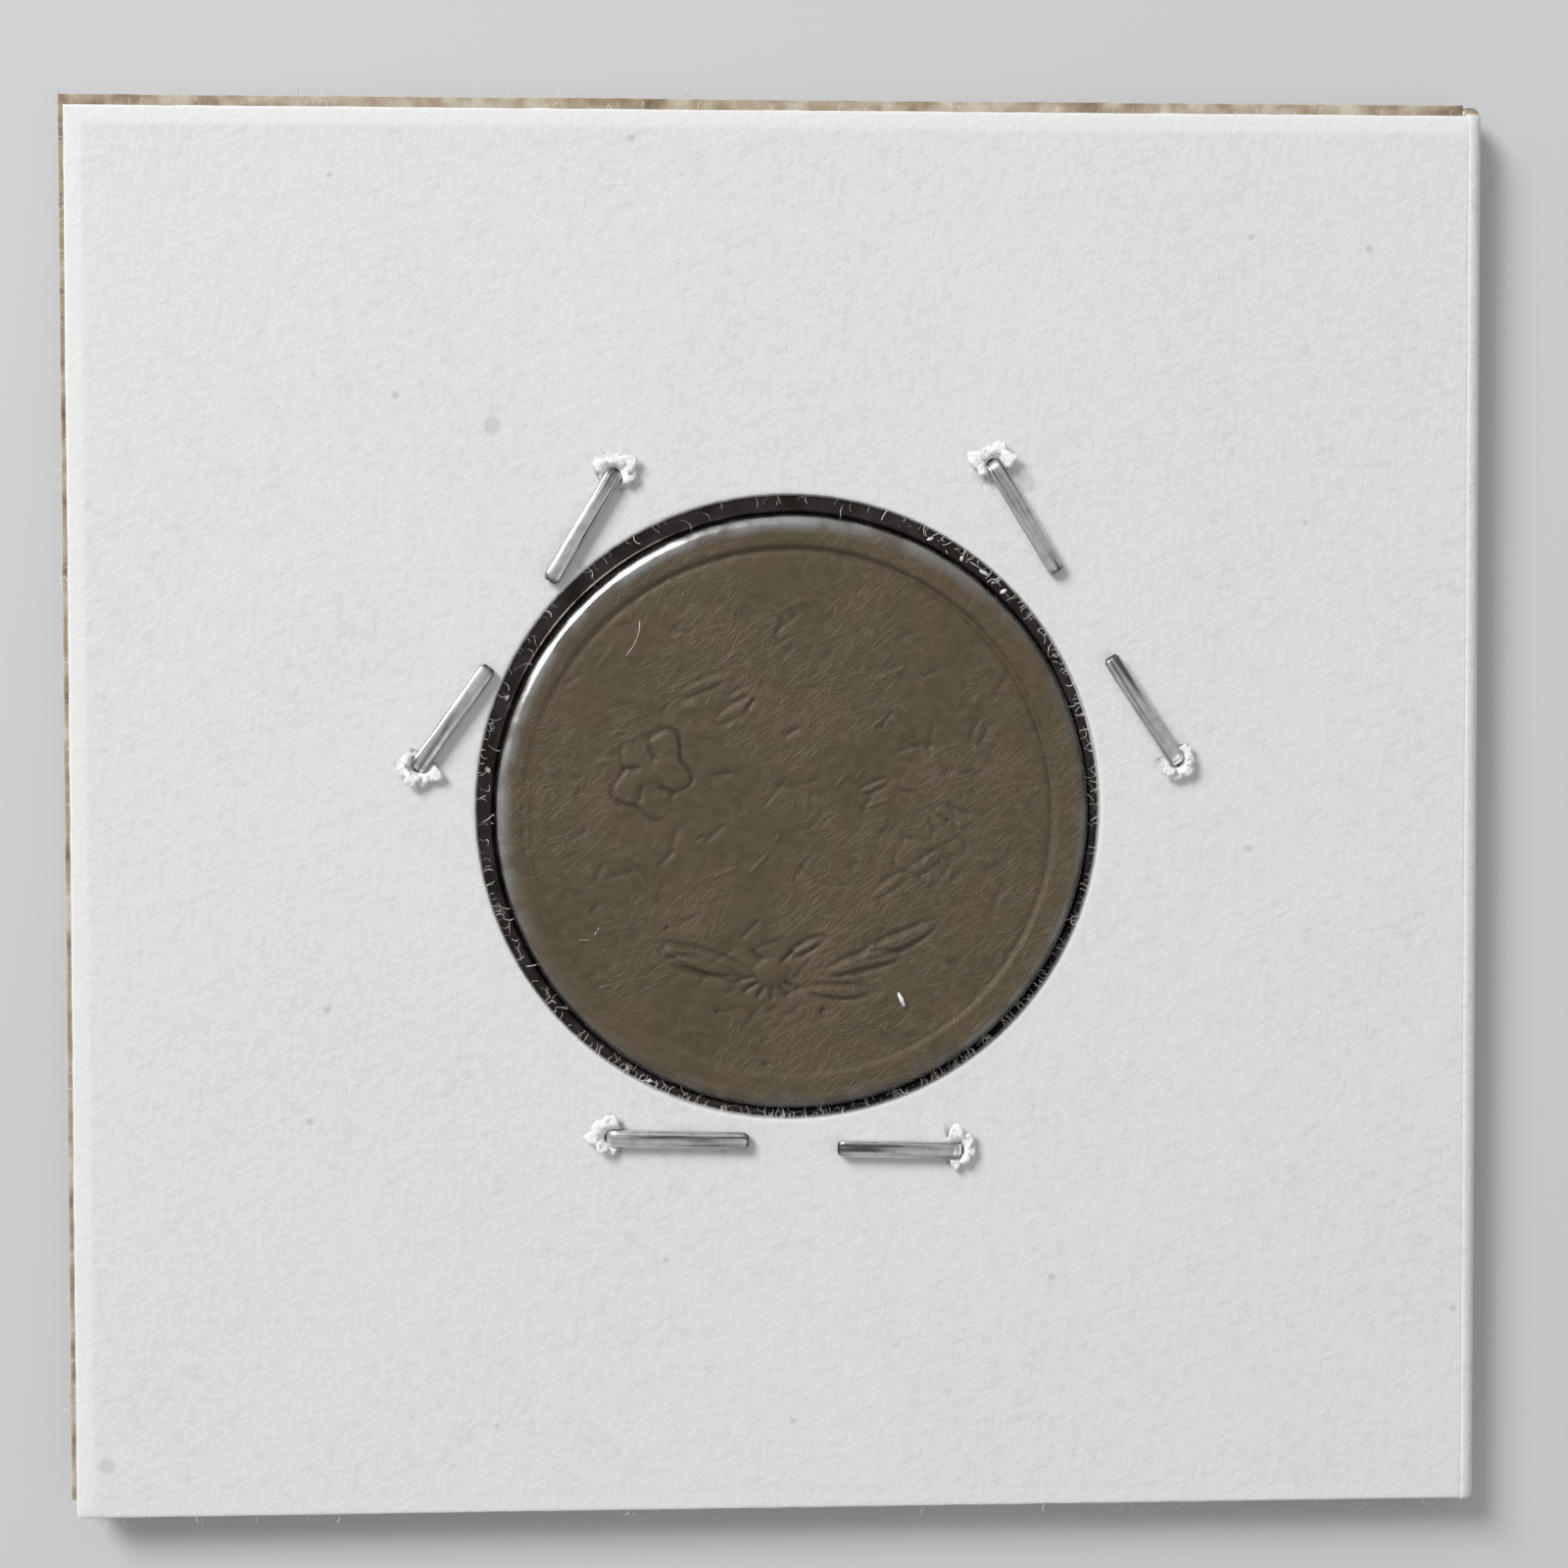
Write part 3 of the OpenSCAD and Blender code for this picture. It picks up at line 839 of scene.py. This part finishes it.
# ---- Torn paper round the legs ----
# Each leg burst through the back half from below. It pushed the white paper up into a low mound
# and tore it into curled tongues, which stand round the outer side of the wire.
torn_paper, tree, shader = new_material("torn_paper")
here = node(tree, "ShaderNodeTexCoord").outputs["Object"]
pulp = node(tree, "ShaderNodeTexNoise", {"Vector": here, "Scale": 5200.0, "Detail": 5.0})
tone = ramp(tree, pulp.outputs[0], [(0.30, (0.46, 0.40, 0.31)), (0.40, (0.82, 0.81, 0.78)),
                                    (0.6, (0.90, 0.90, 0.89))])
set_inputs(tree, shader, {"Base Color": tone, "Roughness": 0.9, "Specular IOR Level": 0.15})
emboss(tree, shader, pulp.outputs[0], 0.8, 0.00006)

card_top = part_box("back_card")[1].z
headroom = cad_box[1][2] - 0.01 * MM


def tongue(root, turn, length, width, lift, rng):
    """One torn tongue of paper that stands on the card and curls away from the root."""
    out = np.array([math.cos(turn), math.sin(turn)])
    beside = np.array([-out[1], out[0]])
    rows, columns, thick = 7, 5, 0.07 * MM
    clear_of_wire, sunk = 0.24 * MM, 0.03 * MM
    top, under = [], []
    for step in range(rows):
        t = step / (rows - 1)
        reach = clear_of_wire + length * t * (0.45 + 0.55 * t)
        rise = lift * math.sin(min(1.0, t * 1.25) * math.pi * 0.62) + 0.01 * MM * rng.normal()
        half = width / 2 * 1.25 * math.sqrt(max(0.12, 1 - 0.9 * t ** 3)) * (1 + 0.08 * rng.normal())
        for across in np.linspace(-1, 1, columns):
            cup = 0.05 * MM * across ** 2 * (1 - t) + 0.008 * MM * rng.normal()
            flat = root + out * (reach + 0.03 * MM * rng.normal() * t) + beside * half * across
            z = min(card_top - sunk + rise + cup, headroom)
            top.append((*flat, z))
            under.append((*(flat + out * thick * 0.4), z - thick))
    count = rows * columns
    points = top + under
    faces = []
    for quad in grid_faces(rows, columns, closed=False).tolist():
        faces += [quad, [count + q for q in reversed(quad)]]
    last = columns - 1
    edge = list(range(last)) + [last + columns * n for n in range(rows - 1)]
    edge += [count - 1 - n for n in range(last)] + [count - columns * (n + 1) for n in range(rows - 1)]
    for a, b in zip(edge, edge[1:] + edge[:1]):
        faces.append([b, a, count + a, count + b])
    return points, [face[::-1] for face in faces]


def mound(root, heading, rng):
    """The low ring of lifted card round a root, highest on the side away from the leg."""
    count = 28
    radii = np.array([0.26, 0.34, 0.46, 0.62, 0.8, 1.0]) * MM
    rise = np.array([0.10, 0.13, 0.10, 0.055, 0.015, -0.03]) * MM
    turn = np.arange(count) * 2 * math.pi / count
    side = turn - math.atan2(heading[1], heading[0])
    lifted = np.clip(0.45 - 0.75 * np.cos(side), -0.2, 1) * rng.uniform(0.75, 1.15, count)
    spread = 1 + 0.10 * rng.normal(0, 1, count)
    seat, underside = card_top - 0.02 * MM, card_top - 0.10 * MM
    rings = []
    for radius, height in zip(radii, rise):
        reach = np.broadcast_to(radius * (spread if radius > 0.3 * MM else 1), count)
        flat = root + np.column_stack([np.cos(turn), np.sin(turn)]) * reach[:, None]
        level = seat + height * np.where(height > 0, lifted, 1)
        rings.append(np.column_stack([flat, level]))
    for ring in rings[::-1]:
        rings.append(np.column_stack([ring[:, :2], np.full(count, underside)]))
    total = len(rings)
    faces = grid_faces(total + 1, count)[:, ::-1] % (total * count)
    return np.concatenate(rings).tolist(), faces.tolist()


def gather(name, shapes, material):
    """One piece from several closed shapes of points and faces."""
    points, faces = [], []
    for shape_points, shape_faces in shapes:
        faces += [[len(points) + i for i in face] for face in shape_faces]
        points += [tuple(p) for p in shape_points]
    return make_piece(name, points, faces, [material])


rng = np.random.default_rng(31)
mounds, tongues = [], []
# Turns of the tongues away from each leg, with their length and width in mm
bursts = (
    ((-60, 0.55, 0.5), (-20, 0.75, 0.6), (15, 0.5, 0.5), (50, 0.4, 0.4), (85, 0.6, 0.45)),
    ((-80, 0.4, 0.4), (-35, 0.5, 0.45), (10, 0.55, 0.5), (50, 0.5, 0.45), (95, 0.7, 0.5)),
    ((-95, 0.6, 0.5), (-50, 0.65, 0.55), (-5, 0.45, 0.45), (40, 0.75, 0.6), (80, 0.4, 0.4)),
    ((-70, 0.4, 0.4), (-30, 0.45, 0.5), (15, 0.5, 0.45), (60, 0.4, 0.4), (105, 0.45, 0.35)),
    ((-85, 0.6, 0.5), (-40, 0.6, 0.55), (0, 0.7, 0.5), (45, 0.4, 0.4), (90, 0.35, 0.35)),
    ((-95, 0.4, 0.35), (-45, 0.35, 0.4), (0, 0.4, 0.45), (45, 0.5, 0.45), (95, 0.7, 0.5)),
)
for (root, heading), burst in zip(roots, bursts):
    mounds.append(mound(root, heading, rng))
    backwards = math.atan2(-heading[1], -heading[0])
    for turn, length, width in burst:
        lift = rng.uniform(0.26, 0.42) * MM
        tongues.append(tongue(root, backwards + math.radians(turn), length * MM, width * MM, lift, rng))
for name, shapes, paper in (
        ("leg_root_mounds", mounds, card_face), ("leg_root_tongues", tongues, torn_paper)):
    piece = gather(name, shapes, paper)
    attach(piece, "back_half")


# ---- Fibres and lint ----
# The knife leaves paper fibres standing out of every cut edge, and loose lint lies on the film
# round the coin. Each fibre is a thin bent thread, stood on a point and turned by chance.
paper_fibre, tree, shader = new_material("paper_fibre")
here = node(tree, "ShaderNodeTexCoord").outputs["Object"]
dye = node(tree, "ShaderNodeTexNoise", {"Vector": here, "Scale": 1500.0, "Detail": 2.0})
tone = ramp(tree, dye.outputs[0], [(0.38, (0.55, 0.46, 0.38)), (0.5, (0.84, 0.82, 0.79))])
set_inputs(tree, shader, {"Base Color": tone, "Roughness": 0.8})

fuzz = bpy.data.node_groups.new("fuzz", "GeometryNodeTree")
fuzz.interface.new_socket("Geometry", in_out="INPUT", socket_type="NodeSocketGeometry")
fuzz_length = fuzz.interface.new_socket("Fibre length", in_out="INPUT", socket_type="NodeSocketFloat")
fuzz_radius = fuzz.interface.new_socket("Fibre radius", in_out="INPUT", socket_type="NodeSocketFloat")
fuzz_seed = fuzz.interface.new_socket("Seed", in_out="INPUT", socket_type="NodeSocketInt")
fuzz.interface.new_socket("Geometry", in_out="OUTPUT", socket_type="NodeSocketGeometry")
ends = fuzz.nodes.new("NodeGroupInput")
length = ends.outputs["Fibre length"]
tip = node(fuzz, "ShaderNodeCombineXYZ", {"X": length}).outputs[0]
elbow = node(fuzz, "ShaderNodeCombineXYZ", {
    "X": maths(fuzz, "MULTIPLY", length, 0.6), "Y": maths(fuzz, "MULTIPLY", length, 0.45)}).outputs[0]
thread = node(fuzz, "GeometryNodeCurveQuadraticBezier", {"Resolution": 6, "Middle": elbow, "End": tip})
thread.inputs["Start"].default_value = (0, 0, 0)
girth = node(fuzz, "GeometryNodeCurvePrimitiveCircle", {
    "Resolution": 4, "Radius": ends.outputs["Fibre radius"]})
strand = node(fuzz, "GeometryNodeCurveToMesh", {
    "Curve": thread.outputs[0], "Profile Curve": girth.outputs[0], "Fill Caps": True})
away = node(fuzz, "GeometryNodeInputNamedAttribute", {"Name": "away"}, data_type="FLOAT_VECTOR")
jitter = node(fuzz, "FunctionNodeRandomValue", {
    "Min": (-0.6, -0.6, -0.25), "Max": (0.6, 0.6, 0.25), "Seed": ends.outputs["Seed"]},
    data_type="FLOAT_VECTOR")
aim = node(fuzz, "ShaderNodeVectorMath", {0: away.outputs[0], 1: jitter.outputs[0]}, operation="ADD")
facing = node(fuzz, "FunctionNodeAlignRotationToVector", {"Vector": aim.outputs[0]}, axis="X")
roll = node(fuzz, "FunctionNodeRandomValue", {
    "Min": (0, 0, 0), "Max": (6.28, 0, 0), "Seed": maths(fuzz, "ADD", ends.outputs["Seed"], 7)},
    data_type="FLOAT_VECTOR")
rolled = node(fuzz, "FunctionNodeRotateRotation", {
    "Rotation": facing.outputs[0], "Rotate By": roll.outputs[0]}, rotation_space="LOCAL")
stature = node(fuzz, "FunctionNodeRandomValue", {
    "Min": (0.35, 0.5, 0.5), "Max": (1.0, 1.2, 1.2), "Seed": maths(fuzz, "ADD", ends.outputs["Seed"], 3)},
    data_type="FLOAT_VECTOR")
stood = node(fuzz, "GeometryNodeInstanceOnPoints", {
    "Points": ends.outputs["Geometry"], "Instance": strand.outputs[0],
    "Rotation": rolled.outputs[0], "Scale": stature.outputs[0]})
whole = node(fuzz, "GeometryNodeRealizeInstances", {"Geometry": stood.outputs[0]})
painted = node(fuzz, "GeometryNodeSetMaterial", {"Geometry": whole.outputs[0], "Material": paper_fibre})
fuzz.links.new(painted.outputs[0], fuzz.nodes.new("NodeGroupOutput").inputs[0])


def fibres(name, places, away, length, radius, seed, body):
    """Fibres rooted at places and pointing roughly away, as one plain mesh riding on body."""
    mesh = bpy.data.meshes.new(name)
    mesh.from_pydata([tuple(p) for p in places], [], [])
    mesh.attributes.new("away", "FLOAT_VECTOR", "POINT").data.foreach_set("vector", np.ravel(away))
    piece = add_object(name, mesh)
    stand = piece.modifiers.new("fuzz", "NODES")
    stand.node_group = fuzz
    stand[fuzz_length.identifier] = length
    stand[fuzz_radius.identifier] = radius
    stand[fuzz_seed.identifier] = seed
    apply_modifiers(piece)
    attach(piece, body)


rng = np.random.default_rng(77)
back_low, back_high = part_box("back_card")
front_low, front_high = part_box("front_card")


def around_window(count, radius, z_low, z_high, busiest):
    """Points round the window, thickest about one direction, with the direction inwards."""
    turn = busiest + rng.normal(0, 1.5, count)
    out = np.column_stack([np.cos(turn), np.sin(turn), np.zeros(count)])
    places = out * radius + [*window_centre, 0]
    places[:, 2] = rng.uniform(z_low, z_high, count)
    return places, -out


def along_edge(count, x_range, y_range, z_range, away):
    places = np.column_stack([rng.uniform(*x_range, count), rng.uniform(*y_range, count),
                              rng.uniform(*z_range, count)])
    return places, np.tile(np.array(away, float), (count, 1))


inner_edge = around_window(
    330, window_r - 0.01 * MM, back_low.z + 0.03 * MM, back_high.z - 0.06 * MM, -1.0)
fibres("window_fibres", *inner_edge, 0.42 * MM, 0.013 * MM, 5, "back_half")
lint_count = 110
lint, _ = around_window(lint_count, 11.0 * MM, back_low.z + 0.02 * MM, back_low.z + 0.12 * MM, -1.6)
lint_away = np.column_stack([rng.normal(0, 1, (lint_count, 2)), np.full(lint_count, 0.1)])
fibres("ring_lint", lint, lint_away, 0.75 * MM, 0.013 * MM, 9, "back_half")
on_coin = np.array([(-7.6, -4.5, 2.04), (-7.0, -4.2, 2.04), (-5.9, 5.6, 2.03)]) * MM
on_coin[:, :2] += coin_centre
hair_away = [(1, 0.3, 0), (1, -0.5, 0), (0.2, 1, 0)]
fibres("coin_hairs", on_coin, hair_away, 1.3 * MM, 0.016 * MM, 4, "back_half")

# Loose chips of white paper: distance from the coin's middle, direction, length, width, turn
chips = []
corners = 7
for far, direction, length, width, turn in (
        (7.75, -60, 0.62, 0.16, 115), (10.98, 46, 0.30, 0.16, 30), (11.02, 51, 0.42, 0.15, 150),
        (10.95, 56, 0.22, 0.14, 80), (10.98, 63, 0.26, 0.13, 20), (10.97, 158, 0.24, 0.14, 60),
        (10.98, 172, 0.28, 0.18, 130), (10.96, -118, 0.26, 0.12, 10), (10.97, -35, 0.24, 0.13, 75)):
    spot = coin_centre + far * MM * np.array([math.cos(math.radians(direction)),
                                              math.sin(math.radians(direction))])
    level = 2.0 * MM if far < 9 else back_low.z + 0.06 * MM
    angles = np.sort(rng.uniform(-0.3, 0.3, corners)) + np.arange(corners) * 2 * math.pi / corners
    outline = np.column_stack([np.cos(angles) * length, np.sin(angles) * width]) * MM / 2
    spin = math.radians(turn)
    outline = outline @ np.array([[math.cos(spin), math.sin(spin)], [-math.sin(spin), math.cos(spin)]])
    low = [(*(spot + p), level + 0.1 * p[0]) for p in outline]
    high = [(x, y, z + 0.03 * MM) for x, y, z in low]
    sides = [[n, (n + 1) % corners, corners + (n + 1) % corners, corners + n] for n in range(corners)]
    caps = [list(range(corners))[::-1], list(range(corners, 2 * corners))]
    chips.append((low + high, sides + caps))
chip_piece = gather("paper_chips", chips, torn_paper)
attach(chip_piece, "back_half")

# Fibres of the outer cuts: name, half, how many, span along X, span along Y, direction
front_x, front_y = (front_low.x, front_high.x), (front_low.y, front_high.y)
back_x, back_y = (back_low.x, back_high.x), (back_low.y, back_high.y)
edges = (
    ("back_left_fibres", "back_half", 70, (back_low.x, back_low.x), back_y, (-1, 0, 0)),
    ("back_top_fibres", "back_half", 80, back_x, (back_high.y, back_high.y), (0, 1, 0)),
    ("front_left_fibres", "front_half", 80, (front_low.x, front_low.x), front_y, (-1, 0, 0)),
    ("front_top_fibres", "front_half", 90, front_x, (front_high.y, front_high.y), (0, 1, 0)),
    ("front_foot_fibres", "front_half", 40, front_x, (front_low.y, front_low.y), (0, -1, 0)),
    ("back_foot_fibres", "back_half", 40, back_x, (back_low.y, back_low.y), (0, -1, 0)))
heights = {"back_half": (back_low.z + 0.1 * MM, back_high.z - 0.12 * MM),
           "front_half": (front_low.z + 0.1 * MM, front_high.z - 0.05 * MM)}
for number, (name, body, count, x_range, y_range, outwards) in enumerate(edges):
    places, away = along_edge(count, x_range, y_range, heights[body], outwards)
    fibres(name, places, away, 0.34 * MM, 0.010 * MM, 20 + number, body)
